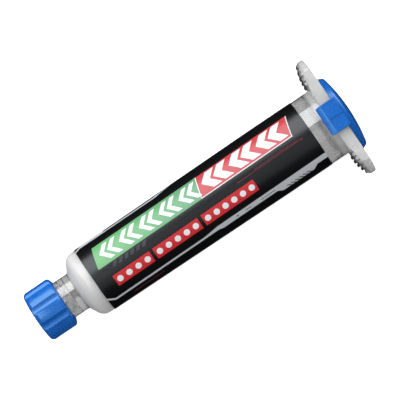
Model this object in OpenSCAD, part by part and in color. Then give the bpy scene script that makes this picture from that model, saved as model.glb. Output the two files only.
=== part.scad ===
// Flux syringe: a filled 10 ml dispensing barrel with a luer-lock tip.
// A fluted cap closes the tip, a clip-on cap closes the finger flange, and a printed film
// wraps the tube. A wiper piston stands behind the flux paste inside.
//
// Every piece is drawn upright, with the tip down and the axis on Z. Heights are counted from
// the outer face of the tip cap, so that the pieces fit each other in one set of stations.
// lay_down() then turns the syringe onto its side: the tip looks along -X, the wings of the
// flange lie along Y, and the lower clip of the end cap touches the ground at Z = 0.

/* [Barrel] */
// Bore of the tube
bore_d = 15.8; // [15.6:0.1:15.9]
// Outside of the tube just behind the shoulder
tube_front_d = 18.4; // [18.2:0.1:18.6]
// Outside of the parallel stretch that a holder's sleeve takes
tube_rear_d = 19.16; // [19:0.02:19.2]
// Height at which the draft of the tube's front ends and the parallel stretch begins
draft_end = 72.5; // [65:0.5:75]
// Outside of the tube at the flange, where the draft has gone on behind the parallel stretch
tube_foot_d = 19.3; // [19.2:0.02:19.4]
// Half angle of the shoulder cone, measured from the axis
shoulder_angle = 62; // [58:1:64]
// Outer rounding between shoulder and tube
shoulder_round = 3; // [2:0.25:3.25]

/* [Luer lock] */
// Outside of the lock collar
collar_d = 10.7; // [10.4:0.1:10.8]
// Bore of the lock collar, at the root of its thread
collar_bore_d = 8.1; // [8:0.05:8.3]
// Height of the collar's mouth
collar_mouth = 5.45; // [5:0.05:5.7]
// Height where collar and shoulder meet
collar_root = 13.2; // [13:0.05:13.3]
// Height of the floor of the ring-shaped pocket inside the collar
pocket_floor = 11.45; // [11.2:0.05:11.6]
// Height of the end of the male cone
nose_end = 3.35; // [3.2:0.05:3.6]
// Diameter of the male cone at its end; it grows by 6 percent of its length
nose_d = 3.95; // [3.93:0.01:3.99]
// Channel through the male cone
channel_d = 2.2; // [2:0.1:2.4]

/* [Finger flange] */
// Length over both wings
flange_l = 34.6; // [33:0.2:36]
// Width over the two flats
flange_w = 20.5; // [20.4:0.1:20.6]
// Height of the flange's front face
flange_front = 91.8; // [91.6:0.05:92]
// Height of the flange's rear face
flange_rear = 95; // [94.8:0.1:95.2]
// Grip bars on each wing
grip_bars = 5; // [3:1:5]
// Distance from one grip bar to the next
grip_pitch = 1.3; // [1.2:0.05:1.3]

/* [Tip cap] */
// Diameter over the ridges
tip_cap_d = 14.3; // [14:0.1:14.6]
// Length
tip_cap_l = 8.8; // [8.6:0.05:9]
// Flutes around the grip
flutes = 9; // [6:1:10]
// Depth of a flute
flute_depth = 0.55; // [0.3:0.05:0.6]

/* [End cap] */
// Diameter of the disc
end_cap_d = 21.9; // [21:0.1:22.2]
// Height of the dome's top over the flange
end_cap_h = 3; // [2.7:0.1:3.2]
// Distance over the outer faces of both clips
clip_span = 22.4; // [22.4:0.1:22.6]
// Width of a clip
clip_w = 8.3; // [7:0.1:10]
// Height of the free end of a clip
clip_end = 90.15; // [90:0.05:90.3]

/* [Piston and paste] */
// Diameter over the two wiping lips
lip_d = 15.68; // [15.6:0.02:15.7]
// Length behind the cone
piston_l = 12; // [10:0.5:14]
// Height of the piston's cone base above the empty stop, set by the 10 ml of paste
fill_l = 50.5; // [30:0.5:60]

/* [Label] */
// Height of the label's front edge
label_front = 18.35; // [18:0.05:18.6]
// Height of the label's rear edge
label_rear = 86.25; // [84:0.05:87.5]
// Thickness of the film
film_t = 0.12; // [0.1:0.01:0.15]

/* [Hidden] */
$fn = 96;

clear_plastic = [0.86, 0.87, 0.86];
blue_plastic = [0.1, 0.36, 0.78];
white_plastic = [0.93, 0.93, 0.9];
paste_cream = [0.91, 0.89, 0.83];
film_black = [0.09, 0.09, 0.1];

overall_l = flange_rear + end_cap_h;
bore_r = bore_d / 2;
tube_front_r = tube_front_d / 2;
tube_rear_r = tube_rear_d / 2;
tube_foot_r = tube_foot_d / 2;
collar_r = collar_d / 2;
channel_r = channel_d / 2;
flange_r = flange_l / 2;
cap_r = tip_cap_d / 2;
disc_r = end_cap_d / 2;
clip_out = clip_span / 2;

// How much a cone gains in height for each millimetre of radius, on the shoulder and inside it
rise = 1 / tan(shoulder_angle);
shoulder_corner = collar_root + (tube_front_r - collar_r) * rise;
funnel_start = pocket_floor + 1.3;
funnel_corner = funnel_start + (bore_r - channel_r) * rise;
funnel_round = 2;
luer_taper = 0.03;

// The cap's skirt stands this far off the collar, and its socket this far off the male cone
skirt_gap = 0.3;
socket_gap = 0.05;
skirt_r = collar_r + skirt_gap;
skirt_floor = 1.6;
socket_floor = nose_end - 0.5;
hub_r = 3;
hub_end = 8.65;
lug_r = 3.85;
lug_h = 1;
lug_angle = 40;
lug_turn = 92;
flute_r = 1.6;
first_flute = 6.5;

// The flange's root starts just inside the wall, so that its fillet runs out on the tube
root_r = tube_rear_r + 0.02;
root_round = 0.35;

grip_w = 0.8;
grip_first = 10.95;
grip_crest = flange_front - 0.2;

// Room between the cap and the flange with its grip bars, which the hooks pass as the cap slides
cap_gap = 0.05;
clip_gap = 0.15;
hook_gap = 0.1;
clip_in = flange_w / 2 + clip_gap;
hook_in = tube_rear_r + 0.25;
hook_top = grip_crest - hook_gap;
hook_bend = 91.55;
disc_under = flange_rear + cap_gap;
clip_round = 0.6;
dome_r = 46;

piston_empty = funnel_corner + 0.2;
piston_s = piston_empty + fill_l;
nose_base_r = bore_r - 0.6;
nose_flat_r = 1.2;
nose_l = (nose_base_r - nose_flat_r) * rise;
lip_r = lip_d / 2;
waist_r = lip_r - 0.55;
paste_r = bore_r - 0.02;
paste_gap = 0.1;

function unit(v) = v / norm(v);

// An angle brought into the range from -180 to 180 degrees
function half_turn(a) = a - 360 * round(a / 360);

// Points on the arc of radius r that rounds the corner b of the path a, b, c
function arc(a, b, c, r, steps = 8) =
    let (
        u = unit(a - b),
        w = unit(c - b),
        half = acos(u * w) / 2,
        centre = b + unit(u + w) * r / sin(half),
        first = b + u * r / tan(half) - centre,
        last = b + w * r / tan(half) - centre,
        start = atan2(first[1], first[0]),
        turn = half_turn(atan2(last[1], last[0]) - start)
    )
    [for (i = [0:steps]) centre + r * [cos(start + turn * i / steps), sin(start + turn * i / steps)]];

function xy(p) = [p[0], p[1]];

// Closed outline through points [x, y, rounding]; a rounding of 0 keeps the corner sharp
function outline(points) =
    let (n = len(points))
    [for (i = [0:n - 1])
        each points[i][2] == 0
            ? [xy(points[i])]
            : arc(xy(points[(i + n - 1) % n]), xy(points[i]), xy(points[(i + 1) % n]), points[i][2])];

// Radius of the tube's outside at a height s under the label
function tube_r(s) =
    tube_front_r + (tube_rear_r - tube_front_r) * min(1, (s - shoulder_corner) / (draft_end - shoulder_corner));

// Radius of the male cone at a height s
function nose_r(s) = nose_d / 2 + luer_taper * (s - nose_end);

// Height of the end cap's dome at a radius r
function dome(r) = overall_l - dome_r + sqrt(dome_r * dome_r - r * r);

// Turns the upright syringe onto its side, centred on its length, with the lower clip at Z = 0
module lay_down() {
    translate([-overall_l / 2, 0, clip_out])
        rotate([0, 90, 0])
            children();
}

module turned(points) {
    rotate_extrude()
        polygon(outline(points));
}

// One moulding: male cone, lock collar, shoulder, drafted tube and finger flange
module barrel() {
    color(clear_plastic, 0.5)
        lay_down()
            difference() {
                union() {
                    tube_and_tip();
                    flange();
                }
                translate([0, 0, funnel_corner + 3])
                    cylinder(r = bore_r, h = overall_l);
                bore_lead_in();
            }
}

module tube_and_tip() {
    turned([
        [channel_r, nose_end, 0],
        [nose_d / 2, nose_end, 0.3],
        [nose_r(pocket_floor), pocket_floor, 0.3],
        [collar_bore_d / 2, pocket_floor, 0.3],
        [collar_bore_d / 2, collar_mouth, 0.25],
        [collar_r, collar_mouth, 0.3],
        [collar_r, collar_root, 0.5],
        [tube_front_r, shoulder_corner, shoulder_round],
        [tube_rear_r, draft_end, 0],
        [tube_rear_r, label_rear, 0],
        [tube_foot_r, flange_rear, 0],
        [bore_r, flange_rear, 0],
        [bore_r, funnel_corner, funnel_round],
        [channel_r, funnel_start, 0.5]
    ]);
}

// A round plate with a filleted root that thins to a rounded rim, with grip bars on its front
// face, cut to two flats
module flange() {
    intersection() {
        union() {
            turned([
                [bore_r + 0.4, flange_front - root_round, 0],
                [root_r, flange_front - root_round, 0],
                [root_r, flange_front, root_round],
                [flange_r - 4.7, flange_front, 3],
                [flange_r - 0.5, flange_front + 1, 0.9],
                [flange_r, flange_rear - 1.4, 0.5],
                [flange_r, flange_rear, 0.4],
                [bore_r + 0.4, flange_rear, 0]
            ]);
            for (side = [-1, 1], i = [0:grip_bars - 1])
                grip_bar(side, i);
        }
        translate([-flange_w / 2, -flange_r, flange_front - 1])
            cube([flange_w, flange_l, flange_rear]);
    }
}

// A low bar across the wing; the bars follow the plate's front face as it falls away to the rim
module grip_bar(side, i) {
    across = grip_first + i * grip_pitch;
    crest = grip_crest + 0.056 * i * i;
    foot = flange_front + 1.3;
    intersection() {
        translate([-flange_w / 2 - 1, side * across, 0])
            rotate([90, 0, 90])
                linear_extrude(flange_w + 2)
                    polygon(outline([
                        [-grip_w / 2, crest, 0.15],
                        [grip_w / 2, crest, 0.15],
                        [grip_w / 2 + 0.1, foot, 0],
                        [-grip_w / 2 - 0.1, foot, 0]
                    ]));
        cylinder(r = flange_r - 0.45, h = overall_l);
    }
}

module bore_lead_in() {
    translate([0, 0, flange_rear - 0.5])
        cylinder(r1 = bore_r, r2 = bore_r + 0.6, h = 0.6);
}

// One moulding: fluted skirt, closed front and a socket hub with two locking lugs
module tip_cap() {
    color(blue_plastic)
        lay_down() {
            difference() {
                turned([
                    [0, 0, 0],
                    [cap_r * 0.6, 0.12, 0],
                    [cap_r, 0.45, 1.2],
                    [cap_r, tip_cap_l - 0.55, 0.9],
                    [skirt_r, tip_cap_l, 0],
                    [skirt_r, skirt_floor, 0.4],
                    [hub_r, skirt_floor, 0.4],
                    [hub_r, hub_end, 0.25],
                    [nose_r(hub_end) + socket_gap, hub_end, 0.15],
                    [nose_r(socket_floor) + socket_gap, socket_floor, 0],
                    [0, socket_floor, 0]
                ]);
                for (i = [0:flutes - 1])
                    rotate([0, 0, first_flute + i * 360 / flutes])
                        translate([cap_r + flute_r - flute_depth, 0, -1])
                            cylinder(r = flute_r, h = tip_cap_l + 2, $fn = 48);
            }
            for (side = [0, 180])
                rotate([0, 0, side + lug_turn - lug_angle / 2])
                    lug();
        }
}

module lug() {
    rotate_extrude(angle = lug_angle)
        polygon([
            [hub_r - 0.2, hub_end - lug_h - 0.5],
            [lug_r, hub_end - lug_h],
            [lug_r, hub_end - 0.25],
            [hub_r - 0.2, hub_end - 0.15]
        ]);
}

// One moulding: low dome with a rounded rim and two clips that hook under the flange's flats
module end_cap() {
    color(blue_plastic)
        lay_down() {
            turned(concat(
                [
                    [0, disc_under + 1.5, 0],
                    [bore_r - 0.9, disc_under + 1.1, 0.6],
                    [bore_r - 0.5, disc_under, 0],
                    [disc_r, disc_under, 0.25],
                    [disc_r - 0.75, dome(disc_r - 0.75), 1.1]
                ],
                [for (r = [disc_r - 2.5:-1.4:1]) [r, dome(r), 0]],
                [[0, overall_l, 0]]
            ));
            clip();
            mirror([1, 0, 0])
                clip();
        }
}

module clip() {
    intersection() {
        translate([0, clip_w / 2, 0])
            rotate([90, 0, 0])
                linear_extrude(clip_w)
                    polygon(outline([
                        [clip_in, hook_top, 0.15],
                        [hook_in, hook_top, 0],
                        [hook_in, clip_end + 0.7, 0.2],
                        [clip_in - 0.1, clip_end, 0.2],
                        [clip_out - 0.5, clip_end, 0.3],
                        [clip_out, hook_bend, 0.9],
                        [clip_out, disc_under + 0.8, 0.3],
                        [clip_in - 0.6, disc_under + 1, 0],
                        [clip_in - 0.6, disc_under + 0.1, 0],
                        [clip_in, disc_under + 0.1, 0]
                    ]));
        rotate([90, 0, 90])
            linear_extrude(clip_out + 1)
                polygon(outline([
                    [-clip_w / 2, clip_end, clip_round],
                    [clip_w / 2, clip_end, clip_round],
                    [clip_w / 2, overall_l, 0],
                    [-clip_w / 2, overall_l, 0]
                ]));
    }
}

// One moulding: a cone that matches the funnel, two wiping lips and a hollow back
module piston() {
    color(white_plastic)
        lay_down()
            translate([0, 0, piston_s])
                turned([
                    [0, -nose_l, 0],
                    [nose_flat_r, -nose_l, 0.3],
                    [nose_base_r, 0, 0.4],
                    [nose_base_r, 0.8, 0],
                    [lip_r, 1.1, 0],
                    [lip_r, 2, 0],
                    [waist_r, 2.9, 0.4],
                    [waist_r, piston_l - 2.6, 0.4],
                    [lip_r, piston_l - 1.5, 0],
                    [lip_r, piston_l - 0.6, 0],
                    [lip_r - 0.3, piston_l, 0],
                    [waist_r - 1.2, piston_l, 0.2],
                    [waist_r - 1.5, 2.4, 1],
                    [0, -0.6, 0]
                ]);
}

// The flux fills the channel, the funnel and the bore as far as the piston's cone
module flux_paste() {
    color(paste_cream)
        lay_down()
            turned([
                [0, nose_end + 0.1, 0],
                [channel_r - 0.02, nose_end + 0.1, 0],
                [channel_r - 0.02, funnel_start + 0.05, 0.5],
                [paste_r, funnel_corner + 0.05, funnel_round],
                [paste_r, piston_s - paste_gap, 0],
                [nose_base_r, piston_s - paste_gap, 0.4],
                [nose_flat_r, piston_s - nose_l - paste_gap, 0],
                [0, piston_s - nose_l - paste_gap, 0]
            ]);
}

// Printed film wrapped round the drafted tube
module label() {
    color(film_black)
        lay_down()
            turned([
                [tube_r(label_front), label_front, 0],
                [tube_r(label_front) + film_t, label_front, 0],
                [tube_r(draft_end) + film_t, draft_end, 0],
                [tube_r(label_rear) + film_t, label_rear, 0],
                [tube_r(label_rear), label_rear, 0],
                [tube_r(draft_end), draft_end, 0]
            ]);
}

barrel();
tip_cap();
end_cap();
piston();
flux_paste();
label();
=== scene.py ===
"""Looks of a filled flux syringe that lies on its side.

The camera looks down on it. The barrel is clear moulded polypropylene, both caps are blue
polyethylene, and a glossy black film with a few printed fields is wrapped round the tube.
Stations along the barrel are in millimetres from the outer face of the tip cap, as s; r is the
distance from the barrel's axis, and angles round it are counted from straight up towards +Y.
"""

import math

import bmesh
import bpy
from mathutils import Matrix, Vector


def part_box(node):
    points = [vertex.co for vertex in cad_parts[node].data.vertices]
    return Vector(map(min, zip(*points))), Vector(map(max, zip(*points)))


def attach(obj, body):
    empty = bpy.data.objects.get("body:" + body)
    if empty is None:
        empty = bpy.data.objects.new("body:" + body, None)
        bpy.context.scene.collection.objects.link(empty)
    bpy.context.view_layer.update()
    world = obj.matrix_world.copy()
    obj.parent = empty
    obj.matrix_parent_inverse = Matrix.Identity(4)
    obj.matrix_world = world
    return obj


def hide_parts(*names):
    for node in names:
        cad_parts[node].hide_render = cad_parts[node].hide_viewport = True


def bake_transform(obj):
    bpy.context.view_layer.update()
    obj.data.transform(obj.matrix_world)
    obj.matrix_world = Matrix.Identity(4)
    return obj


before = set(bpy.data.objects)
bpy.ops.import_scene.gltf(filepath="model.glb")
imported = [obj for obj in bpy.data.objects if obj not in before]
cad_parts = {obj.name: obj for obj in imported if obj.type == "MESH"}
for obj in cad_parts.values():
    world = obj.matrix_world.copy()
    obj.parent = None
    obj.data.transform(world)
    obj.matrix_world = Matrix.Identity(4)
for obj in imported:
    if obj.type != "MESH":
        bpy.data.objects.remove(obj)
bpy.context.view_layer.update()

bl_info = {
    "name": "Flux Syringe",
    "version": (1, 0, 0),
    "blender": (4, 5, 0),
    "location": "View3D > Sidebar > Flux Syringe",
    "description": "Builds the visible pieces, finishes and stage of a filled flux syringe",
    "category": "Add Mesh",
}

MM = 0.001
TIP_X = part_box("tip_cap")[0][0]
AXIS_Z = (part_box("barrel")[0][2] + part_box("barrel")[1][2]) / 2


def station(x):
    """A frame X as millimetres from the tip cap's outer face."""
    return (x - TIP_X) / MM


# Stations and radii that the CAD nodes give, in millimetres
LABEL_FRONT = station(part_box("label")[0][0])
LABEL_REAR = station(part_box("label")[1][0])
NOSE_END = station(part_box("barrel")[0][0])
FLANGE_REAR = station(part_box("barrel")[1][0])
OVERALL = station(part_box("end_cap")[1][0])
CLIP_END = station(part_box("end_cap")[0][0])
CLIP_OUT = (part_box("end_cap")[1][2] - AXIS_Z) / MM
FLAT_HALF = (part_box("barrel")[1][2] - AXIS_Z) / MM
CAP_LENGTH = station(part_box("tip_cap")[1][0])
PASTE_END = station(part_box("flux_paste")[1][0])
PISTON_CONE = station(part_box("piston")[0][0])
PISTON_END = station(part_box("piston")[1][0])
LIP_R = (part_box("piston")[1][1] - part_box("piston")[0][1]) / 2 / MM


# Settings


def srgb(hex_colour):
    """A hex sRGB colour as Blender's linear colour with alpha 1."""
    parts = [int(hex_colour[i : i + 2], 16) / 255 for i in (0, 2, 4)]
    linear = [p / 12.92 if p <= 0.04045 else ((p + 0.055) / 1.055) ** 2.4 for p in parts]
    return (*linear, 1.0)


def colour_property(name, hex_colour, description):
    return bpy.props.FloatVectorProperty(
        name=name,
        description=description,
        subtype="COLOR",
        size=4,
        min=0,
        max=1,
        default=srgb(hex_colour),
    )


def length_property(name, millimetres, description):
    return bpy.props.FloatProperty(
        name=name,
        description=description,
        default=millimetres * MM,
        min=0,
        unit="LENGTH",
    )


class SyringeSizes(bpy.types.PropertyGroup):
    bore: length_property("Bore radius", 7.9, "Radius of the tube's bore")
    tube_front: length_property("Tube radius, front", 9.2, "Outside of the tube at the shoulder")
    tube_rear: length_property("Tube radius, rear", 9.58, "Outside of the tube's parallel stretch")
    tube_foot: length_property("Tube radius, foot", 9.65, "Outside of the tube at the flange")
    draft_end: length_property("End of the draft", 72.5, "Where the parallel stretch begins")
    collar: length_property("Collar radius", 5.35, "Outside of the luer-lock collar")
    flange: length_property("Flange radius", 17.3, "Reach of the flange's wings from the axis")
    thread_lead: length_property("Thread lead", 5, "Advance of the lock thread in one turn")
    tip_cap: length_property("Tip cap radius", 7.15, "Outside of the tip cap's ridges")
    flute_depth: length_property("Flute depth", 0.55, "Depth of the scoops round the tip cap")
    end_cap: length_property("End cap radius", 10.95, "Radius of the end cap's disc")
    clip_width: length_property("Clip width", 8.3, "Width of the end cap's clips")
    film: length_property("Film thickness", 0.12, "Thickness of the printed film")
    ink: length_property("Ink thickness", 0.012, "How far one ink stands over the film")


class SyringeColours(bpy.types.PropertyGroup):
    clear: colour_property("Clear barrel", "F7F7F6", "Tint of the clear polypropylene")
    cap: colour_property("Caps", "0668CC", "Blue of both caps")
    film: colour_property("Film", "08080A", "Black ground of the printed film")
    green: colour_property("Green field", "68B470", "Green ink")
    green_shade: colour_property("Green field, rear", "62A274", "Green ink where it fades")
    red: colour_property("Red field", "C4383E", "Red ink of the large field")
    tag: colour_property("Red tags", "D8202A", "Red ink of the small tags")
    silver: colour_property("Silver band", "CDD1D5", "Silver ink")
    white: colour_property("White", "F4F5F6", "White ink")
    faint: colour_property("Grey strokes", "3F3F46", "Dark grey ink")
    rule: colour_property("Dull red rules", "8E3448", "Thin dull red ink lines")
    paste: colour_property("Flux", "F1EFEA", "Colour of the flux paste")
    piston: colour_property("Piston", "EDEDE6", "Natural polyethylene")
    floor: colour_property("Floor", "F7F7F8", "Pale floor")
    through: colour_property("Floor through plastic", "CACBCC", "Floor as clear plastic shows it")
    dim: colour_property("Floor in reflections", "1E1E20", "Floor as glossy faces show it")


def settings(context):
    return context.scene.syringe_sizes, context.scene.syringe_colours


# Materials

# Most of a noise's values lie in this range
MIDDLE = {"From Min": 0.3, "From Max": 0.7}
WHITE = (1, 1, 1, 1)
CLEAR = 0.88
MILKY = 0.15
# Millimetres that the ramps of the next two tables span
CLARITY_REACH = 100
# How see-through the plastic is, by station
CLARITY = (
    (0, CLEAR),
    (13, CLEAR),
    (13.4, MILKY),
    (20, MILKY),
    (22, CLEAR),
    (89.6, CLEAR),
    (90.5, 0.4),
)
# How many millimetres the clear part reaches over the grip bars, by distance from the axis
GRIP_CLARITY = ((0, 0), (9.8, 0), (10.0, 1.9), (11.5, 2.0), (14.2, 2.3), (16.5, 3.0))
# Stations over which the green ink fades
FADE = (20, 54)


def add_node(tree, kind, inputs=None, **options):
    """Adds one shader node with its properties and inputs. An input is a value, a socket to link,
    or a node to link by its first output."""
    node = tree.nodes.new("ShaderNode" + kind)
    for key, value in options.items():
        setattr(node, key, value)
    for socket, value in (inputs or {}).items():
        if isinstance(value, bpy.types.Node):
            value = value.outputs[0]
        if isinstance(value, bpy.types.NodeSocket):
            tree.links.new(value, node.inputs[socket])
        else:
            node.inputs[socket].default_value = value
    return node


def grains(millimetres):
    """The Scale of a pattern whose grains are about that many millimetres wide. The fine grain of
    a moulded or printed skin is drawn at 0.25 to 0.4 mm, because the render shows none finer."""
    return 1 / (millimetres * MM)


def new_material(name):
    """An empty material, its node tree and its Object coordinates."""
    material = bpy.data.materials.new(name)
    material.use_nodes = True
    tree = material.node_tree
    tree.nodes.clear()
    return material, tree, add_node(tree, "TexCoord").outputs["Object"]


def finish_material(tree, inputs):
    """Gives a material its one shader."""
    shader = add_node(tree, "BsdfPrincipled", inputs)
    add_node(tree, "OutputMaterial", {"Surface": shader})


def mottled(tree, pattern, colour, shares):
    """A colour that drifts with a pattern towards a deeper one, whose red, green and blue are
    those shares of its own."""
    deeper = tuple(c * k for c, k in zip(colour, (*shares, 1.0)))
    drift = add_node(tree, "MapRange", {"Value": pattern, **MIDDLE})
    mix = add_node(tree, "Mix", {0: drift, 6: tuple(colour), 7: deeper}, data_type="RGBA")
    return mix.outputs[2]


def follow(tree, length, stops):
    """A value that follows (length, value) stops, in millimetres, over a length in metres."""
    share = add_node(tree, "MapRange", {"Value": length, "From Max": CLARITY_REACH * MM})
    ramp = add_node(tree, "ValToRGB", {"Fac": share})
    elements = ramp.color_ramp.elements
    elements.remove(elements[1])
    (start, value), *later = stops
    elements[0].position = start / CLARITY_REACH
    elements[0].color = (value, value, value, 1)
    for at, value in later:
        elements.new(at / CLARITY_REACH).color = (value, value, value, 1)
    return ramp


def clarity(tree, place):
    """How see-through the plastic is along the barrel. On the wings of the flange, the clear part
    reaches over the grip bars."""
    parts = add_node(tree, "SeparateXYZ", {"Vector": place}).outputs
    across = add_node(tree, "Math", {0: parts["Y"]}, operation="ABSOLUTE")
    over = follow(tree, across, GRIP_CLARITY)
    shift = add_node(tree, "Math", {0: over, 1: -MM, 2: -TIP_X}, operation="MULTIPLY_ADD")
    along = add_node(tree, "Math", {0: parts["X"], 1: shift}, operation="ADD")
    return follow(tree, along, CLARITY)


def clear_polypropylene(colours):
    """Clear injection-moulded polypropylene, smooth and glossy. It is see-through where the wall
    is thin, and milky and softer in its gloss where it is thick or has paste behind it."""
    material, tree, place = new_material("clear_polypropylene")
    waves = add_node(tree, "TexNoise", {"Vector": place, "Scale": grains(6), "Detail": 0})
    haze = add_node(tree, "TexNoise", {"Vector": place, "Scale": grains(2.2)})
    clear = clarity(tree, place)
    satin = {"Value": clear, "From Min": 0.2, "From Max": 0.85, "To Min": 0.32, "To Max": 0.06}
    uneven = {"Value": haze, **MIDDLE, "To Max": 0.04}
    rough = {0: add_node(tree, "MapRange", satin), 1: add_node(tree, "MapRange", uneven)}
    relief = {"Height": waves, "Distance": 0.02 * MM, "Strength": 0.5}
    inputs = {
        "Base Color": tuple(colours.clear),
        "Roughness": add_node(tree, "Math", rough, operation="ADD"),
        "IOR": 1.49,
        "Specular IOR Level": 1.0,
        # A clear wall reflects from both of its faces, so its coat is a strong one
        "Coat Weight": clear,
        "Coat IOR": 2.4,
        "Coat Roughness": 0.06,
        "Transmission Weight": clear,
        "Subsurface Weight": 0.9,
        "Subsurface Radius": (1, 1, 1),
        "Subsurface Scale": 4 * MM,
        "Normal": add_node(tree, "Bump", relief),
    }
    finish_material(tree, inputs)
    return material


def blue_polyethylene(colours):
    """Blue injection-moulded polyethylene: waxy and satin, with light scattered under the skin."""
    material, tree, place = new_material("blue_polyethylene")
    cloud = add_node(tree, "TexNoise", {"Vector": place, "Scale": grains(3)})
    grain = add_node(tree, "TexNoise", {"Vector": place, "Scale": grains(0.25)})
    satin = {"Value": grain, **MIDDLE, "To Min": 0.22, "To Max": 0.3}
    relief = {"Height": grain, "Distance": 0.012 * MM, "Strength": 0.5}
    inputs = {
        "Base Color": mottled(tree, cloud, colours.cap, (0.82, 0.88, 0.93)),
        "Roughness": add_node(tree, "MapRange", satin),
        "IOR": 1.6,
        "Specular IOR Level": 1.0,
        "Specular Tint": (0.5, 0.95, 1, 1),
        "Coat Weight": 0.45,
        "Coat Roughness": 0.16,
        "Subsurface Weight": 0.1,
        "Subsurface Radius": (0.1, 0.5, 1.0),
        "Subsurface Scale": 0.6 * MM,
        "Normal": add_node(tree, "Bump", relief),
    }
    finish_material(tree, inputs)
    return material


def cap_plastic(colours):
    """The one blue plastic that both caps are moulded in."""
    return bpy.data.materials.get("blue_polyethylene") or blue_polyethylene(colours)


def printed_film(name, colour, rear_colour=None):
    """Laminated label film. Its gloss is broken by the slight waves of a hand-wrapped label.

    rear_colour is the colour that the ink fades to over its length."""
    material, tree, place = new_material(name)
    waves = add_node(tree, "TexNoise", {"Vector": place, "Scale": grains(7), "Detail": 1})
    grain = add_node(tree, "TexNoise", {"Vector": place, "Scale": grains(0.3)})
    satin = {"Value": grain, **MIDDLE, "To Min": 0.26, "To Max": 0.34}
    relief = {"Height": waves, "Distance": 0.05 * MM, "Strength": 0.6}
    base = tuple(colour)
    if rear_colour is not None:
        along = add_node(tree, "SeparateXYZ", {"Vector": place}).outputs["X"]
        start, end = (TIP_X + s * MM for s in FADE)
        fade = add_node(tree, "MapRange", {"Value": along, "From Min": start, "From Max": end})
        mixed = {0: fade, 6: base, 7: tuple(rear_colour)}
        base = add_node(tree, "Mix", mixed, data_type="RGBA").outputs[2]
    inputs = {
        "Base Color": base,
        "Roughness": add_node(tree, "MapRange", satin),
        "IOR": 1.5,
        "Specular IOR Level": 1.0,
        "Specular Tint": (0.9, 0.95, 1, 1),
        "Normal": add_node(tree, "Bump", relief),
    }
    finish_material(tree, inputs)
    return material


def flux_gel(colours):
    """Soft flux paste: a pale resin gel, slightly mottled and a little see-through."""
    material, tree, place = new_material("flux_gel")
    cloud = add_node(tree, "TexNoise", {"Vector": place, "Scale": grains(1.8), "Detail": 3})
    relief = {"Height": cloud, "Distance": 0.05 * MM, "Strength": 0.4}
    inputs = {
        "Base Color": mottled(tree, cloud, colours.paste, (0.94, 0.93, 0.92)),
        "Roughness": 0.35,
        "IOR": 1.5,
        "Subsurface Weight": 0.3,
        "Subsurface Radius": (1.0, 0.95, 0.9),
        "Subsurface Scale": 1.5 * MM,
        "Normal": add_node(tree, "Bump", relief),
    }
    finish_material(tree, inputs)
    return material


def natural_polyethylene(colours):
    """Undyed polyethylene of the piston: waxy white."""
    material, tree, place = new_material("natural_polyethylene")
    grain = add_node(tree, "TexNoise", {"Vector": place, "Scale": grains(0.4)})
    satin = {"Value": grain, **MIDDLE, "To Min": 0.35, "To Max": 0.5}
    relief = {"Height": grain, "Distance": 0.01 * MM, "Strength": 0.5}
    inputs = {
        "Base Color": tuple(colours.piston),
        "Roughness": add_node(tree, "MapRange", satin),
        "IOR": 1.51,
        "Subsurface Weight": 0.2,
        "Subsurface Scale": 1.0 * MM,
        "Normal": add_node(tree, "Bump", relief),
    }
    finish_material(tree, inputs)
    return material


def by_ray(tree, shader, *seen):
    """A shader that camera, glossy and transmitted rays each see as one of their own. A refracted
    ray counts as glossy too, so the transmitted one comes last."""
    path = add_node(tree, "LightPath").outputs
    for ray, other in zip(("Camera", "Glossy", "Transmission"), seen):
        shader = add_node(tree, "MixShader", {0: path[f"Is {ray} Ray"], 1: shader, 2: other})
    return shader


def pale_floor(colours):
    """Matt white paper that keeps the shadow. Clear plastic shows it pale, and glossy faces
    show it dim, as in a room that is dark beyond the paper."""
    material, tree, place = new_material("pale_floor")
    fibre = add_node(tree, "TexNoise", {"Vector": place, "Scale": grains(4)})
    matt = {"Value": fibre, **MIDDLE, "To Min": 0.85, "To Max": 0.95}
    inputs = {
        "Base Color": tuple(colours.floor),
        "Roughness": add_node(tree, "MapRange", matt),
        "Specular IOR Level": 0.1,
        "Emission Color": WHITE,
        "Emission Strength": 0.75,
    }
    paper = add_node(tree, "BsdfPrincipled", inputs)
    plain = add_node(tree, "BsdfDiffuse", {"Color": tuple(colours.floor)})
    dim = add_node(tree, "Emission", {"Color": tuple(colours.dim)})
    through = add_node(tree, "Emission", {"Color": tuple(colours.through)})
    add_node(tree, "OutputMaterial", {"Surface": by_ray(tree, plain, paper, dim, through)})
    return material


# Mesh helpers

# Points closer than the first are merged, and points nearer the axis than the second are on it
MERGE_DISTANCE = 0.0005 * MM
ON_AXIS = 0.001 * MM
SHARP_ANGLE = math.radians(32)


def arc(before, here, after, radius, steps):
    """Points that round the corner here of a path, as an arc of that radius."""
    to_before = (before - here).normalized()
    to_after = (after - here).normalized()
    half = to_before.angle(to_after) / 2
    centre = here + (to_before + to_after).normalized() * radius / math.sin(half)
    first = here + to_before * radius / math.tan(half) - centre
    last = here + to_after * radius / math.tan(half) - centre
    start = math.atan2(first.y, first.x)
    turn = math.remainder(math.atan2(last.y, last.x) - start, math.tau)
    angles = [start + turn * k / steps for k in range(steps + 1)]
    return [centre + radius * Vector((math.cos(a), math.sin(a))) for a in angles]


def outline(points, steps=6):
    """Closed outline through (x, y) or (x, y, rounding) points."""
    flat = [Vector(p[:2]) for p in points]
    found = []
    for i, point in enumerate(points):
        radius = point[2] if len(point) > 2 else 0
        if radius:
            found += arc(flat[i - 1], flat[i], flat[(i + 1) % len(flat)], radius, steps)
        else:
            found.append(flat[i])
    return found


def on_barrel(s, r, angle=0.0):
    """The frame's place of a point at station s and radius r, turned by an angle."""
    across, up = r * math.sin(angle), r * math.cos(angle)
    return Vector((TIP_X + s * MM, across * MM, AXIS_Z + up * MM))


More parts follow.
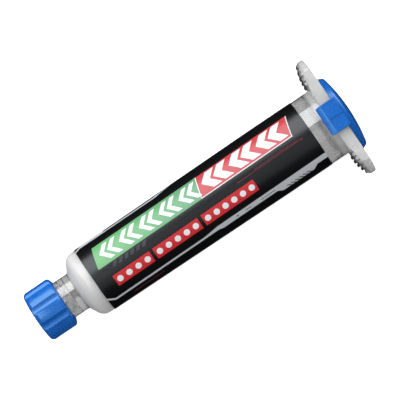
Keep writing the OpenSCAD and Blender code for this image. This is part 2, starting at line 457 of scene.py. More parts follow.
def revolve(bm, points, steps=128):
    """Spins an outline of (s, r, rounding) points round the barrel's axis into a closed shell."""
    path = outline(points)
    verts = [bm.verts.new(on_barrel(p.x, max(p.y, 0))) for p in path]
    axis = AXIS_Z + ON_AXIS
    pairs = [p for p in zip(verts, verts[1:] + verts[:1]) if max(v.co.z for v in p) > axis]
    edges = [bm.edges.new(pair) for pair in pairs]
    bmesh.ops.spin(
        bm,
        geom=verts + edges,
        cent=(0, 0, AXIS_Z),
        axis=(1, 0, 0),
        angle=math.tau,
        steps=steps,
        use_merge=True,
    )
    bmesh.ops.remove_doubles(bm, verts=bm.verts, dist=MERGE_DISTANCE)
    bmesh.ops.recalc_face_normals(bm, faces=bm.faces)


def prism(bm, points, depth, place, edge=0.0):
    """Extrudes an outline to a depth, with chamfered ends where edge is given.

    place(u, v, w) gives the frame's place of a point, with w from -depth / 2 to depth / 2."""
    verts = [bm.verts.new((p.x, p.y, edge - depth / 2)) for p in outline(points)]
    foot = bm.faces.new(verts)
    out = bmesh.ops.extrude_face_region(bm, geom=[foot], use_keep_orig=True)
    top = [g for g in out["geom"] if isinstance(g, bmesh.types.BMVert)]
    head = [g for g in out["geom"] if isinstance(g, bmesh.types.BMFace)]
    bmesh.ops.translate(bm, verts=top, vec=(0, 0, depth - 2 * edge))
    bmesh.ops.recalc_face_normals(bm, faces=bm.faces)
    if edge:
        bmesh.ops.inset_individual(bm, faces=[foot, *head], thickness=edge, depth=edge)
    for v in bm.verts:
        v.co = place(*v.co)
    bmesh.ops.recalc_face_normals(bm, faces=bm.faces)


def to_object(bm, name):
    """Turns a bmesh into an object of the scene."""
    mesh = bpy.data.meshes.new(name)
    bm.to_mesh(mesh)
    bm.free()
    piece = bpy.data.objects.new(name, mesh)
    bpy.context.scene.collection.objects.link(piece)
    return piece


def built(name, build, *details, **options):
    """A new object whose mesh one of the functions above builds."""
    bm = bmesh.new()
    build(bm, *details, **options)
    return to_object(bm, name)


def carve(base, operation, *others):
    """Applies Boolean operations with other objects to a mesh, and removes those objects."""
    for other in others:
        modifier = base.modifiers.new("carve", "BOOLEAN")
        modifier.operation = operation
        modifier.solver = "EXACT"
        modifier.object = other
    evaluated = base.evaluated_get(bpy.context.evaluated_depsgraph_get())
    whole = bpy.data.meshes.new_from_object(evaluated)
    base.modifiers.clear()
    base.data = whole
    for other in others:
        bpy.data.objects.remove(other)
    return base


def finish_piece(piece, material, slot, *nodes):
    """Gives a piece its material, and hides the CAD nodes that it stands for."""
    piece.data.materials.clear()
    piece.data.materials.append(material)
    piece.data.shade_smooth()
    piece.data.set_sharp_from_angle(angle=SHARP_ANGLE)
    if nodes:
        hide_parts(*nodes)


def dress(piece, body, material, *nodes, slot=None):
    """Finishes a piece that moves with one body."""
    finish_piece(piece, material, slot, *nodes)
    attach(piece, body)


# Barrel

BARREL_STEPS = 160
SHOULDER_RISE = 1 / math.tan(math.radians(62))
COLLAR_MOUTH = 5.45
COLLAR_ROOT = 13.2
COLLAR_BORE = 4.05
POCKET_FLOOR = 11.45
CHANNEL_R = 1.1
FUNNEL_START = POCKET_FLOOR + 1.3
NOSE_R = 1.975
LUER_TAPER = 0.03
FLANGE_FRONT = 91.8
FLANGE_ROOT_ROUND = 0.35
GRIP_BARS = 5
GRIP_FIRST = 10.95
GRIP_PITCH = 1.3
GRIP_RISE = 0.2
GRIP_FALL = 0.056
GRIP_DEPTH = 1.3
GRIP_EDGE = 0.45
GRIP_HALF = 0.4
FLAT_BEND = 0.6
FLAT_OVERRUN = 8
FLAT_DEPTH = 10
THREAD_STARTS = 2
THREAD_CREST = 3.55
THREAD_HALF = 0.55
THREAD_CREST_HALF = 0.2
THREAD_CROSSING = 9.25
THREAD_STEPS = 64


def nose_r(s):
    return NOSE_R + LUER_TAPER * (s - NOSE_END)


def tube_and_tip(bm, sizes):
    """Male cone, lock collar, shoulder and drafted tube, in one turned shell."""
    bore, front, rear = sizes.bore / MM, sizes.tube_front / MM, sizes.tube_rear / MM
    collar = sizes.collar / MM
    points = [
        (NOSE_END, CHANNEL_R),
        (NOSE_END, nose_r(NOSE_END), 0.3),
        (POCKET_FLOOR, nose_r(POCKET_FLOOR), 0.3),
        (POCKET_FLOOR, COLLAR_BORE, 0.3),
        (COLLAR_MOUTH, COLLAR_BORE, 0.25),
        (COLLAR_MOUTH, collar, 0.3),
        (COLLAR_ROOT, collar, 0.5),
        (COLLAR_ROOT + (front - collar) * SHOULDER_RISE, front, 3),
        (sizes.draft_end / MM, rear),
        (LABEL_REAR, rear),
        (FLANGE_REAR, sizes.tube_foot / MM),
        (FLANGE_REAR, bore + 0.5, 0.1),
        (FLANGE_REAR - 0.5, bore),
        (FUNNEL_START + (bore - CHANNEL_R) * SHOULDER_RISE, bore, 2),
        (FUNNEL_START, CHANNEL_R, 0.5),
    ]
    revolve(bm, points, BARREL_STEPS)


def flange_plate(bm, sizes):
    """Round plate with a filleted root, which thins to a rounded rim."""
    rim = sizes.flange / MM
    root = sizes.tube_rear / MM + 0.02
    inner = sizes.bore / MM + 0.9
    points = [
        (FLANGE_FRONT - FLANGE_ROOT_ROUND, inner),
        (FLANGE_FRONT - FLANGE_ROOT_ROUND, root),
        (FLANGE_FRONT, root, FLANGE_ROOT_ROUND),
        (FLANGE_FRONT, rim - 4.7, 3),
        (FLANGE_FRONT + 1, rim - 0.5, 0.9),
        (FLANGE_REAR - 1.4, rim, 0.5),
        (FLANGE_REAR, rim, 0.4),
        (FLANGE_REAR, inner),
    ]
    revolve(bm, points, BARREL_STEPS)


def grip_bar(bm, sizes, side, i):
    """One bar of the finger grip, with its ends cut along the plate's rim. The bars follow the
    plate, which falls away to the rim."""
    crest = FLANGE_FRONT - GRIP_RISE + GRIP_FALL * i * i
    foot = FLANGE_FRONT + GRIP_DEPTH
    across = GRIP_FIRST + i * GRIP_PITCH
    reach = math.sqrt((sizes.flange / MM - GRIP_EDGE) ** 2 - across**2)

    def place(s, y, end):
        z = math.copysign(reach - across / reach * y, end)
        return (TIP_X + s * MM, side * (across + y) * MM, AXIS_Z + z * MM)

    points = [
        (crest, -GRIP_HALF, 0.15),
        (crest, GRIP_HALF, 0.15),
        (foot, GRIP_HALF + 0.1),
        (foot, -GRIP_HALF - 0.1),
    ]
    prism(bm, points, 1, place)


def flat_sided(bm, sizes):
    """The block between the flange's two flats, which run into the round rim by a soft bend."""

    def place(y, z, s):
        return (TIP_X + (FLANGE_REAR + s) * MM, y * MM, AXIS_Z + z * MM)

    rim = sizes.flange / MM
    up = FLAT_HALF - FLAT_BEND
    touch = Vector((math.sqrt((rim - FLAT_BEND) ** 2 - up**2), up)) * rim / (rim - FLAT_BEND)
    tangent = Vector((touch.y, -touch.x)) / rim
    corner = touch + tangent * (FLAT_HALF - touch.y) / tangent.y
    out = touch + tangent * FLAT_OVERRUN
    half = [
        (corner.x, corner.y, FLAT_BEND),
        (out.x, out.y),
        (out.x, -out.y),
        (corner.x, -corner.y, FLAT_BEND),
    ]
    other = [(-p[0], *p[1:]) for p in reversed(half)]
    prism(bm, half + other, FLAT_DEPTH, place)


def lock_thread(bm, sizes):
    """The double-start thread inside the collar, each start a ridge swept along a helix.
    THREAD_CROSSING is the station where one start crosses the +Y side."""
    lead = sizes.thread_lead / MM
    first, last = COLLAR_MOUTH + 0.6, POCKET_FLOOR - 0.25
    turns = (last - first) / lead
    steps = int(turns * THREAD_STEPS)
    foot = COLLAR_BORE + 0.3
    ridge = [
        (-THREAD_HALF, foot),
        (-THREAD_CREST_HALF, THREAD_CREST),
        (THREAD_CREST_HALF, THREAD_CREST),
        (THREAD_HALF, foot),
    ]
    for k in range(THREAD_STARTS):
        ahead = math.tau * (first - THREAD_CROSSING) / lead
        turned = math.pi / 2 + math.tau * k / THREAD_STARTS - ahead
        verts = [bm.verts.new(on_barrel(first + s, r, turned)) for s, r in ridge]
        bmesh.ops.spin(
            bm,
            geom=[bm.faces.new(verts)],
            cent=(0, 0, AXIS_Z),
            axis=(1, 0, 0),
            dvec=((last - first) / steps * MM, 0, 0),
            angle=turns * math.tau,
            steps=steps,
        )
    bmesh.ops.recalc_face_normals(bm, faces=bm.faces)


def make_barrel(sizes, colours):
    places = [(side, i) for side in (-1, 1) for i in range(GRIP_BARS)]
    flange = built("flange", flange_plate, sizes)
    carve(flange, "UNION", *[built("bar", grip_bar, sizes, *place) for place in places])
    carve(flange, "INTERSECT", built("flats", flat_sided, sizes))
    barrel = built("clear_barrel", tube_and_tip, sizes)
    carve(barrel, "UNION", flange, built("thread", lock_thread, sizes))
    dress(barrel, "barrel", clear_polypropylene(colours), "barrel", slot="clear_barrel")


class SYRINGE_OT_barrel(bpy.types.Operator):
    """Builds the clear barrel with its lock thread and finger flange"""

    bl_idname = "syringe.barrel"
    bl_label = "Barrel"

    def execute(self, context):
        make_barrel(*settings(context))
        return {"FINISHED"}


# Tip cap

CAP_STEPS = 360
FLUTES = 9
FLUTE_R = 1.6
FLUTE_SOFTNESS = 0.12
FIRST_FLUTE = math.radians(13.5)
SKIRT_R = 5.65
SKIRT_FLOOR = 1.6
HUB_R = 3.0
HUB_END = 8.65
SOCKET_GAP = 0.05
SOCKET_FLOOR = NOSE_END - 0.5
LUG_R = 3.85
LUG_H = 1.0
LUG_WIDTH = math.radians(40)
LUG_CENTRE = math.radians(88)
LUG_SINK = 0.2
GATE_R = 0.45
GATE_FOOT_R = 0.6
GATE_DEPTH = 0.3
GATE_S = 0.16


def flute_limit(angle, outer, depth):
    """Radius of the scooped grip at an angle, from the nearest flute's circle."""
    centre = outer + FLUTE_R - depth
    off = math.remainder(angle - FIRST_FLUTE, math.tau / FLUTES)
    inside = FLUTE_R**2 - (centre * math.sin(off)) ** 2
    if inside <= 0:
        return outer + 10
    return centre * math.cos(off) - math.sqrt(inside)


def soften(a, b, softness):
    """The smaller of two lengths, blended where they are nearly equal."""
    share = max(0.0, min(1.0, 0.5 + 0.5 * (b - a) / softness))
    return b * (1 - share) + a * share - softness * share * (1 - share) / 2


def fluted_cap(bm, sizes):
    """Skirt, closed front and socket hub in one turned shell, with the flutes scooped out."""
    outer = sizes.tip_cap / MM
    points = [
        (0, 0),
        (0.03, outer * 0.3),
        (0.12, outer * 0.6),
        (0.45, outer, 1.2),
        (CAP_LENGTH / 2, outer),
        (CAP_LENGTH - 0.55, outer, 0.9),
        (CAP_LENGTH, SKIRT_R),
        (SKIRT_FLOOR, SKIRT_R, 0.4),
        (SKIRT_FLOOR, HUB_R, 0.4),
        (HUB_END, HUB_R, 0.25),
        (HUB_END, nose_r(HUB_END) + SOCKET_GAP, 0.15),
        (SOCKET_FLOOR, nose_r(SOCKET_FLOOR) + SOCKET_GAP),
        (SOCKET_FLOOR, 0),
    ]
    revolve(bm, points, CAP_STEPS)
    depth = sizes.flute_depth / MM
    for v in bm.verts:
        across, up = v.co.y, v.co.z - AXIS_Z
        r = math.hypot(across, up) / MM
        if r > SKIRT_R + 0.05:
            limit = flute_limit(math.atan2(across, up), outer, depth)
            share = soften(r, limit, FLUTE_SOFTNESS) / r
            v.co.y, v.co.z = across * share, AXIS_Z + up * share


def lug(bm, turned):
    """Half of the cap's male thread: a lug that rides between the collar's ridges."""
    profile = [
        (HUB_END - LUG_H - 0.5, HUB_R - LUG_SINK),
        (HUB_END - LUG_H, LUG_R),
        (HUB_END - 0.25, LUG_R),
        (HUB_END - 0.15, HUB_R - LUG_SINK),
    ]
    start = LUG_CENTRE + turned + LUG_WIDTH / 2
    verts = [bm.verts.new(on_barrel(s, r, start)) for s, r in profile]
    bmesh.ops.spin(
        bm,
        geom=[bm.faces.new(verts)],
        cent=(0, 0, AXIS_Z),
        axis=(1, 0, 0),
        angle=LUG_WIDTH,
        steps=10,
    )
    bmesh.ops.recalc_face_normals(bm, faces=bm.faces)


def gate_mark(bm):
    """The small stub that the moulding gate leaves in the middle of the outer face."""
    bmesh.ops.create_cone(
        bm,
        cap_ends=True,
        segments=32,
        radius1=GATE_R * MM,
        radius2=GATE_FOOT_R * MM,
        depth=GATE_DEPTH * MM,
        matrix=Matrix.Translation(on_barrel(GATE_S, 0)) @ Matrix.Rotation(math.pi / 2, 4, "Y"),
    )


def make_tip_cap(sizes, colours):
    cap = built("fluted_cap", fluted_cap, sizes)
    lugs = [built("lug", lug, turned) for turned in (0, math.pi)]
    carve(cap, "UNION", *lugs, built("gate", gate_mark))
    dress(cap, "tip_cap", cap_plastic(colours), "tip_cap", slot="blue_cap")


class SYRINGE_OT_tip_cap(bpy.types.Operator):
    """Builds the fluted cap on the tip"""

    bl_idname = "syringe.tip_cap"
    bl_label = "Tip cap"

    def execute(self, context):
        make_tip_cap(*settings(context))
        return {"FINISHED"}


# End cap

CAP_GAP = 0.05
DISC_STEPS = 192
DOME_R = 46.0
DOME_RINGS = 9
RIM_WIDTH = 0.75
PLUG_H = 1.5
PLUG_GAP = 0.5
PLUG_CHAMFER = 0.4
CLIP_IN = FLAT_HALF + 0.15
HOOK_IN = 9.83
HOOK_TOP = 91.5
HOOK_BEND = 91.55
CLIP_EDGE = 0.12
PARTING_W = 0.45
PARTING_H = 0.2


def dome(r):
    return OVERALL - DOME_R + math.sqrt(DOME_R**2 - r**2)


def capped_disc(bm, sizes):
    """Low dome with a rounded rim, and a plug that centres it in the bore."""
    under = FLANGE_REAR + CAP_GAP
    disc, bore = sizes.end_cap / MM, sizes.bore / MM
    points = [
        (under + PLUG_H, 0),
        (under + PLUG_H - PLUG_CHAMFER, bore - PLUG_GAP - PLUG_CHAMFER, 0.6),
        (under, bore - PLUG_GAP),
        (under, disc, 0.25),
        (dome(disc - RIM_WIDTH), disc - RIM_WIDTH, 1.1),
    ]
    radii = [(disc - 2) * (1 - k / DOME_RINGS) for k in range(DOME_RINGS)]
    points += [(dome(r), r) for r in radii]
    points.append((OVERALL, 0))
    revolve(bm, points, DISC_STEPS)


def clip_profile(grow=0.0):
    """Side view of a clip as (s, distance from the axis). grow pushes its outer skin out."""
    under = FLANGE_REAR + CAP_GAP
    out = CLIP_OUT + grow
    free = CLIP_END - grow
    return [
        (HOOK_TOP, CLIP_IN, 0.15),
        (HOOK_TOP, HOOK_IN),
        (CLIP_END + 0.7, HOOK_IN, 0.2),
        (free, CLIP_IN - 0.1, 0.2),
        (free, out - 0.5, 0.3),
        (HOOK_BEND, out, 0.9),
        (under + 0.8, out, 0.3),
        (under + 1, CLIP_IN - 0.6),
        (under + 0.1, CLIP_IN - 0.6),
        (under + 0.1, CLIP_IN),
    ]


def make_clip(side, width):
    """A clip with rounded free corners. The upper one has the raised line where the mould halves
    met, and the lower one is flat to lie on."""

    def from_side(s, out, y):
        return (TIP_X + s * MM, y * MM, AXIS_Z + side * out * MM)

    def from_above(s, y, out):
        return (TIP_X + s * MM, y * MM, AXIS_Z + out * MM)

    plan = [
        (CLIP_END, -width / 2, 0.6),
        (CLIP_END, width / 2, 0.6),
        (OVERALL, width / 2),
        (OVERALL, -width / 2),
    ]
    clip = built("clip", prism, clip_profile(), width, from_side, CLIP_EDGE)
    carve(clip, "INTERSECT", built("plan", prism, plan, 2 * CLIP_OUT + 2, from_above))
    if side > 0:
        line = built("line", prism, clip_profile(PARTING_H), PARTING_W, from_side)
        carve(clip, "UNION", line)
    return clip


def make_end_cap(sizes, colours):
    cap = built("clip_on_cap", capped_disc, sizes)
    clips = [make_clip(side, sizes.clip_width / MM) for side in (1, -1)]
    carve(cap, "UNION", *clips)
    dress(cap, "end_cap", cap_plastic(colours), "end_cap", slot="blue_cap")


class SYRINGE_OT_end_cap(bpy.types.Operator):
    """Builds the clip-on cap on the flange"""

    bl_idname = "syringe.end_cap"
    bl_label = "End cap"

    def execute(self, context):
        make_end_cap(*settings(context))
        return {"FINISHED"}


# Filling

PISTON_BASE_GAP = 0.6
PISTON_FLAT_R = 1.2
PASTE_SKIN = 0.02
PASTE_STEPS = 96


def wiper_piston(bm, sizes):
    """A cone that matches the funnel, two wiping lips and a hollow back."""
    base = sizes.bore / MM - PISTON_BASE_GAP
    cone = PISTON_CONE + (base - PISTON_FLAT_R) * SHOULDER_RISE
    waist = LIP_R - 0.55
    points = [
        (PISTON_CONE, 0),
        (PISTON_CONE, PISTON_FLAT_R, 0.3),
        (cone, base, 0.4),
        (cone + 0.8, base),
        (cone + 1.1, LIP_R, 0.1),
        (cone + 2, LIP_R, 0.1),
        (cone + 2.9, waist, 0.4),
        (PISTON_END - 2.6, waist, 0.4),
        (PISTON_END - 1.5, LIP_R, 0.1),
        (PISTON_END - 0.6, LIP_R, 0.1),
        (PISTON_END, LIP_R - 0.3, 0.05),
        (PISTON_END, waist - 1.2, 0.2),
        (cone + 2.4, waist - 1.5, 1),
        (cone - 0.6, 0),
    ]
    revolve(bm, points)


def make_piston(sizes, colours):
    piston = built("wiper_piston", wiper_piston, sizes)
    dress(piston, "piston", natural_polyethylene(colours), "piston", slot="white_piston")


class SYRINGE_OT_piston(bpy.types.Operator):
    """Builds the wiper piston"""

    bl_idname = "syringe.piston"
    bl_label = "Piston"

    def execute(self, context):
        make_piston(*settings(context))
        return {"FINISHED"}


def filling(bm, sizes):
    """The flux in the channel, the funnel and the bore, up to the piston's cone."""
    bore = sizes.bore / MM
    skin, channel = bore - PASTE_SKIN, CHANNEL_R - PASTE_SKIN
    funnel_end = FUNNEL_START + (bore - CHANNEL_R) * SHOULDER_RISE
    cone = PISTON_CONE - 0.1
    points = [
        (NOSE_END + 0.1, 0),
        (NOSE_END + 0.1, channel),
        (FUNNEL_START + 0.05, channel, 0.5),
        (funnel_end + 0.05, skin, 2),
        (PASTE_END, skin),
        (PASTE_END, bore - PISTON_BASE_GAP, 0.3),
        (cone, PISTON_FLAT_R),
        (cone, 0),
    ]
    revolve(bm, points, PASTE_STEPS)


def make_paste(sizes, colours):
    paste = built("flux_gel", filling, sizes)
    finish_piece(paste, flux_gel(colours), "flux", "flux_paste")
    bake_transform(paste)


class SYRINGE_OT_paste(bpy.types.Operator):
    """Builds the flux filling, which the piston presses out"""

    bl_idname = "syringe.paste"
    bl_label = "Flux paste"

    def execute(self, context):
        make_paste(*settings(context))
        return {"FINISHED"}


# Label

SKEW = 0.011
SKEW_FROM = 20.0
SEAM = 168.0
FLAP = 30.0
FLAP_RISE = 0.08
SKIN_SINK = -0.02
FILM_STEP = 4
FILM_STEPS = 192
# Widest facets of a wrapped skin, along the barrel and round it
FACETS = (6.0, 0.5)


def film_r(s, sizes):
    """Outside of the film at station s, in millimetres."""
    front = COLLAR_ROOT + (sizes.tube_front - sizes.collar) / MM * SHOULDER_RISE
    share = min(1.0, (s - front) / (sizes.draft_end / MM - front))
    return (sizes.tube_front + (sizes.tube_rear - sizes.tube_front) * share + sizes.film) / MM


def askew(s, along, sizes):
    """Station and angle of a place on the film, which was wrapped slightly askew.

    along is the distance round the film, in millimetres from straight up."""
    here = s - SKEW * along
    return here, (along + SKEW * (s - SKEW_FROM)) / film_r(here, sizes)


def wrapped(bm, points, sizes, low, high):
    """Wraps a flat outline of (station, angle in degrees, rounding) onto the film, as a thin
    closed skin that reaches from low to high millimetres over the film's surface."""
    mean = film_r(LABEL_REAR, sizes)
    flat = [(p[0], math.radians(p[1]) * mean, *p[2:]) for p in points]
    path = outline(flat, 4)
    verts = [bm.verts.new((p.x, p.y, low)) for p in path]
    face = bm.faces.new(verts)
    geom = [face, *face.edges, *verts]
    for axis, pitch in enumerate(FACETS):
        ends = min(p[axis] for p in path), max(p[axis] for p in path)
        normal = Vector((1 - axis, axis, 0))
        for k in range(1, int((ends[1] - ends[0]) / pitch) + 1):
            place = normal * (ends[0] + pitch * k)
            cut = bmesh.ops.bisect_plane(bm, geom=geom, plane_co=place, plane_no=normal)
            geom = cut["geom"]
    faces = [g for g in geom if isinstance(g, bmesh.types.BMFace)]
    out = bmesh.ops.extrude_face_region(bm, geom=faces, use_keep_orig=True)
    top = [g for g in out["geom"] if isinstance(g, bmesh.types.BMVert)]
    bmesh.ops.translate(bm, verts=top, vec=(0, 0, high - low))
    made = {v for f in faces for v in f.verts} | set(top)
    for v in made:
        s, turned = askew(v.co.x, v.co.y, sizes)
        v.co = on_barrel(s, film_r(s, sizes) + v.co.z, turned)
    bmesh.ops.recalc_face_normals(bm, faces=list({f for v in made for f in v.link_faces}))


def film_wrap(bm, sizes):
    """The film round the tube, as a thin tube whose ends are slightly askew."""
    film = sizes.film / MM
    count = int((LABEL_REAR - LABEL_FRONT) / FILM_STEP)
    inside = [LABEL_FRONT + FILM_STEP * k for k in range(1, count)]
    stations = [LABEL_FRONT, *inside, LABEL_REAR]
    points = [(s, film_r(s, sizes)) for s in stations]
    points += [(s, film_r(s, sizes) - film) for s in reversed(stations)]
    revolve(bm, points, FILM_STEPS)
    for v in bm.verts:
        turned = math.atan2(v.co.y, v.co.z - AXIS_Z)
        past_seam = turned > math.radians(SEAM + FLAP / 2)
        v.co.x -= SKEW * (turned - math.tau * past_seam) * film_r(station(v.co.x), sizes) * MM


def seam_flap(bm, sizes):
    """The end of the film, which overlaps its start."""
    end = SEAM + FLAP
    points = [(LABEL_FRONT, SEAM), (LABEL_FRONT, end), (LABEL_REAR, end), (LABEL_REAR, SEAM, 1.2)]
    wrapped(bm, points, sizes, SKIN_SINK, FLAP_RISE)


def make_label(sizes, colours):
    film = printed_film("black_film", colours.film)
    dress(built("film_wrap", film_wrap, sizes), "barrel", film, "label", slot="film")
    dress(built("film_overlap", seam_flap, sizes), "barrel", film, slot="film")


class SYRINGE_OT_label(bpy.types.Operator):
    """Builds the black film and its overlap"""

    bl_idname = "syringe.label"
    bl_label = "Label film"

    def execute(self, context):
        make_label(*settings(context))
        return {"FINISHED"}


# Print

# Fields as first and last station, and lower and upper edge in degrees
GREEN = (20.85, 53.2, 6.1, 44.6)
RED = (53.4, 81.35, 7.6, 44.2)
RED_EDGE = 0.22
LEAN = 1.55
# Pairs of arrow heads: first tip, pitch of the pairs, step inside a pair, number of pairs, lower
# and upper end in degrees, length of the point, thickness
ARROWS = ((23.2, 6.2, 2.5, 5, 11, 39.5, 2.1, 1.4), (55.3, 8.5, 3.7, 3, 11, 41.5, 2.3, 2.6))
# Tags as first and last station, and number of dots
TAGS = ((22.9, 34.3, 4), (35.3, 49.35, 5), (50.4, 66.8, 6))
TAG_LOW, TAG_HIGH = -33.0, -13.4
DOT_R = 0.85
RULES = ((62.9, 83.1, -5.2, -4.5), (68.6, 82.4, -2.9, -2.3), (25.2, 34.8, -62.6, -61.8))
RULE_DOT = (83.1, -4.85, 0.24)
STROKES = 6
STROKE_FIRST, STROKE_PITCH, STROKE_WIDTH = 24.3, 1.83, 1.1
BAND_HIGH, BAND_LOW = -45.3, -55.8
RULE_HIGH, RULE_LOW = -49.0, -53.0
TEETH = 6
TEETH_END = 80.9
TEETH_LOW = -62.9
TOOTH_PITCH = 1.24
TOOTH_GAP = 0.5
# Dashes on the silver band: first station, length, pitch and number
DASHES = ((58.0, 0.7, 0, 1), (60.8, 0.3, 0.5, 4), (65.8, 0.3, 0.5, 9))


def slanted(start, end, low, high, lean, rounding=0.0):
    """A parallelogram whose upper edge is set back by lean millimetres."""
    return [
        (start, low, rounding),
        (end, low, rounding),
        (end + lean, high, rounding),
        (start + lean, high, rounding),
    ]


def chevron(tip, low, high, reach, thick):
    """An arrow head whose point looks towards the tip of the syringe."""
    middle = (low + high) / 2
    return [
        (tip, middle),
        (tip + reach, low),
        (tip + reach + thick, low),
        (tip + thick, middle),
        (tip + reach + thick, high),
        (tip + reach, high),
    ]


def bead(s, turned, radius, sizes):
    """A round dot."""
    wide = math.degrees(radius / film_r(LABEL_REAR, sizes))
    turns = [math.tau * k / 16 for k in range(16)]
    return [(s + radius * math.cos(t), turned + wide * math.sin(t)) for t in turns]


def white_fields(sizes):
    """The red field's pale edge, and arrow heads and dots on the fields and tags."""
    start, end, low, high = RED
    foot = low - math.degrees(RED_EDGE / film_r(LABEL_REAR, sizes))
    fields = [
        slanted(start - RED_EDGE, end + RED_EDGE, foot, low, 0.06),
        slanted(start - RED_EDGE, start, low, high, LEAN),
        slanted(end, end + RED_EDGE, low, high, LEAN),
    ]
    for first, pitch, step, pairs, *form in ARROWS:
        for k in range(pairs):
            for tip in (first + pitch * k, first + pitch * k + step):
                fields.append(chevron(tip, *form))
    for start, end, count in TAGS:
        pitch = (end - start) / count
        for k in range(count):
            fields.append(bead(start + pitch * (k + 0.5), (TAG_LOW + TAG_HIGH) / 2, DOT_R, sizes))
    return fields


def silver_fields():
    """A fine rule that turns into a band with slanted teeth, and a second rule on the far side."""
    teeth = []
    for k in range(TEETH):
        foot = TEETH_END - TOOTH_PITCH * k
        top = foot - 1.1
        teeth += [(foot, TEETH_LOW), (top, BAND_LOW - 1), (top - TOOTH_GAP, BAND_LOW - 1)]
        teeth.append((foot - TOOTH_GAP, TEETH_LOW))
    band = [
        (LABEL_FRONT, -39.9),
        (20.4, RULE_HIGH),
        (48.1, RULE_HIGH),
        (52.4, BAND_HIGH),
        (LABEL_REAR, BAND_HIGH),
        (LABEL_REAR, BAND_LOW),
        (82.9, BAND_LOW),
        (81.5, TEETH_LOW),
        *teeth,
        (71.9, TEETH_LOW),
        (70.6, BAND_LOW),
        (53.6, BAND_LOW),
        (52.3, RULE_LOW),
        (20.2, RULE_LOW),
        (LABEL_FRONT, -44.0),
    ]
    far = [
        (LABEL_FRONT, 59),
        (19.9, 65.4),
        (43.5, 64),
        (48.7, 76),
        (47.5, 79),
        (43, 68.5),
        (27.4, 68.8),
        (27, 86),
        (20.5, 86),
        (19.7, 69.9),
        (LABEL_FRONT, 63.5),
    ]
    return [band, far]


def dark_marks():
    """Small dashes that break up the silver band."""
    high, low = BAND_HIGH - 4.6, BAND_HIGH - 6.4
    marks = []
    for first, length, pitch, count in DASHES:
        starts = [first + pitch * k for k in range(count)]
        marks += [slanted(start, start + length, low, high, 0) for start in starts]
    return marks


def ink(name, fields, material, sizes, layer=1):
    """One ink of the print: its fields as thin skins on the film, in one piece."""
    bm = bmesh.new()
    for field in fields:
        wrapped(bm, field, sizes, SKIN_SINK, sizes.ink / MM * layer)
    dress(to_object(bm, name), "barrel", material, slot="film")


def make_print(sizes, colours):
    green = slanted(*GREEN, LEAN, 0.25)
    red = slanted(*RED, LEAN, 0.2)
    tags = [slanted(start, end, TAG_LOW, TAG_HIGH, 0, 0.1) for start, end, _ in TAGS]
    starts = [STROKE_FIRST + STROKE_PITCH * k for k in range(STROKES)]
    strokes = [slanted(start, start + STROKE_WIDTH, -3, 4.2, 0.95) for start in starts]
    rules = [slanted(*rule, 0) for rule in RULES]
    rules.append(bead(*RULE_DOT, sizes))
    green_ink = printed_film("green_ink", colours.green, colours.green_shade)
    ink("print_green", [green], green_ink, sizes)
    ink("print_strokes", strokes, printed_film("grey_ink", colours.faint), sizes)
    ink("print_red", [red], printed_film("red_ink", colours.red), sizes, 2)
    ink("print_tags", tags, printed_film("tag_ink", colours.tag), sizes, 2)
    ink("print_rules", rules, printed_film("rule_ink", colours.rule), sizes, 2)
    ink("print_silver", silver_fields(), printed_film("silver_ink", colours.silver), sizes, 2)
    ink("print_marks", dark_marks(), printed_film("mark_ink", colours.film), sizes, 3)
    ink("print_white", white_fields(sizes), printed_film("white_ink", colours.white), sizes, 3)


class SYRINGE_OT_print(bpy.types.Operator):
    """Builds the printed fields on the film"""

    bl_idname = "syringe.print"
    bl_label = "Print"

    def execute(self, context):
        make_print(*settings(context))
        return {"FINISHED"}


# Stage

# The photo's side in pixels, and the millimetres that a pixel shows
PHOTO_SIZE = 400
PHOTO_SCALE = 0.26
AXIS_ANGLE = math.radians(34.0)
CAMERA_ROLL = math.radians(2.5)
CAMERA_HEIGHT = 1.0
VIEW_CENTRE = (3.64, 1.84)
SENSOR = 36
FLOOR_HALF = 1.5
WORLD_LIGHT = 0.384
WORLD_SEEN = 1.0
WORLD_REFLECTED = 0.032
WORLD_THROUGH = 0.6
# Each lamp's name, place and size in metres, and watts
LAMPS = (
    ("softbox", (0, 0.42, 0.42), (1.0, 0.62), 4.2),
    ("overhead", (0, -0.35, 0.85), (1.0, 0.7), 0.6),
    ("front", (-0.24, 0, 0.65), (0.3, 0.2), 0.5),
    ("rear", (0.6, 0.3, 0.14), (0.5, 0.2), 0.9),
)


def area_light(name, place, size, power):
    """A rectangular softbox that looks at the middle of the syringe. Clear plastic reflects it
    but doesn't show it through its walls, which would speckle them."""
    data = bpy.data.lights.new(name, "AREA")
    data.shape = "RECTANGLE"
    data.size, data.size_y = size
    data.energy = power
    lamp = bpy.data.objects.new(name, data)
    lamp.location = place
    lamp.rotation_euler = (-Vector(place)).to_track_quat("-Z", "Y").to_euler()
    lamp.visible_transmission = False
    bpy.context.scene.collection.objects.link(lamp)


def photo_camera():
    """Looks down from a little to the -Y side, with the barrel's axis turned as in the photo."""
    data = bpy.data.cameras.new("photo_camera")
    data.sensor_width = SENSOR
    data.lens = SENSOR * CAMERA_HEIGHT / (PHOTO_SIZE * PHOTO_SCALE * MM)
    data.clip_start, data.clip_end = 0.01, 20
    camera = bpy.data.objects.new("photo_camera", data)
    bpy.context.scene.collection.objects.link(camera)
    centre = Vector((VIEW_CENTRE[0] * MM, VIEW_CENTRE[1] * MM, CAMERA_HEIGHT))
    camera.matrix_world = (
        Matrix.Translation((0, 0, AXIS_Z))
        @ Matrix.Rotation(CAMERA_ROLL, 4, "X")
        @ Matrix.Translation(centre)
        @ Matrix.Rotation(-AXIS_ANGLE, 4, "Z")
    )
    bpy.context.scene.camera = camera


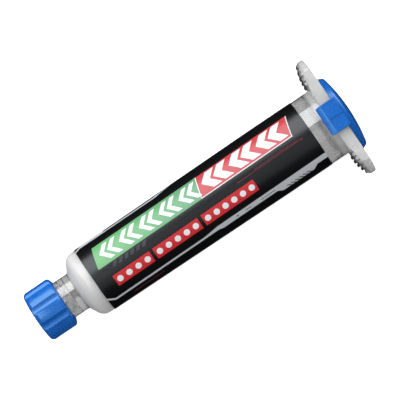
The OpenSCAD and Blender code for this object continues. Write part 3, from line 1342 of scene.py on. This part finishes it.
def white_world():
    """Even white light, and pure white wherever the camera sees past the floor."""
    world = bpy.data.worlds.new("white_world")
    world.use_nodes = True
    tree = world.node_tree
    tree.nodes.clear()
    lights = [
        add_node(tree, "Background", {"Color": WHITE, "Strength": strength})
        for strength in (WORLD_LIGHT, WORLD_SEEN, WORLD_REFLECTED, WORLD_THROUGH)
    ]
    add_node(tree, "OutputWorld", {"Surface": by_ray(tree, *lights)})
    bpy.context.scene.world = world


def make_stage(colours):
    bm = bmesh.new()
    bmesh.ops.create_grid(bm, x_segments=1, y_segments=1, size=FLOOR_HALF)
    floor = to_object(bm, "floor")
    floor.data.materials.append(pale_floor(colours))
    white_world()
    for lamp in LAMPS:
        area_light(*lamp)
    photo_camera()
    bpy.context.scene.view_settings.view_transform = "Standard"


class SYRINGE_OT_stage(bpy.types.Operator):
    """Builds the floor, lights and camera"""

    bl_idname = "syringe.stage"
    bl_label = "Stage"

    def execute(self, context):
        make_stage(settings(context)[1])
        return {"FINISHED"}


# Panel

STEPS = (
    SYRINGE_OT_stage,
    SYRINGE_OT_barrel,
    SYRINGE_OT_tip_cap,
    SYRINGE_OT_end_cap,
    SYRINGE_OT_piston,
    SYRINGE_OT_paste,
    SYRINGE_OT_label,
    SYRINGE_OT_print,
)


class SYRINGE_PT_panel(bpy.types.Panel):
    """Lists the steps that build the syringe, with its sizes and colours"""

    bl_label = "Flux Syringe"
    bl_idname = "SYRINGE_PT_panel"
    bl_space_type = "VIEW_3D"
    bl_region_type = "UI"
    bl_category = "Flux Syringe"

    def draw(self, context):
        for step in STEPS:
            self.layout.operator(step.bl_idname)
        for group in settings(context):
            box = self.layout.box()
            for name in group.__annotations__:
                box.prop(group, name)


CLASSES = (SyringeSizes, SyringeColours, *STEPS, SYRINGE_PT_panel)


def register():
    for cls in CLASSES:
        bpy.utils.register_class(cls)
    bpy.types.Scene.syringe_sizes = bpy.props.PointerProperty(type=SyringeSizes)
    bpy.types.Scene.syringe_colours = bpy.props.PointerProperty(type=SyringeColours)


def unregister():
    del bpy.types.Scene.syringe_colours
    del bpy.types.Scene.syringe_sizes
    for cls in reversed(CLASSES):
        bpy.utils.unregister_class(cls)


def main():
    register()
    bpy.ops.syringe.stage()
    bpy.ops.syringe.barrel()
    bpy.ops.syringe.tip_cap()
    bpy.ops.syringe.end_cap()
    bpy.ops.syringe.piston()
    bpy.ops.syringe.paste()
    bpy.ops.syringe.label()
    bpy.ops.syringe.print()


if __name__ == "__main__":
    main()
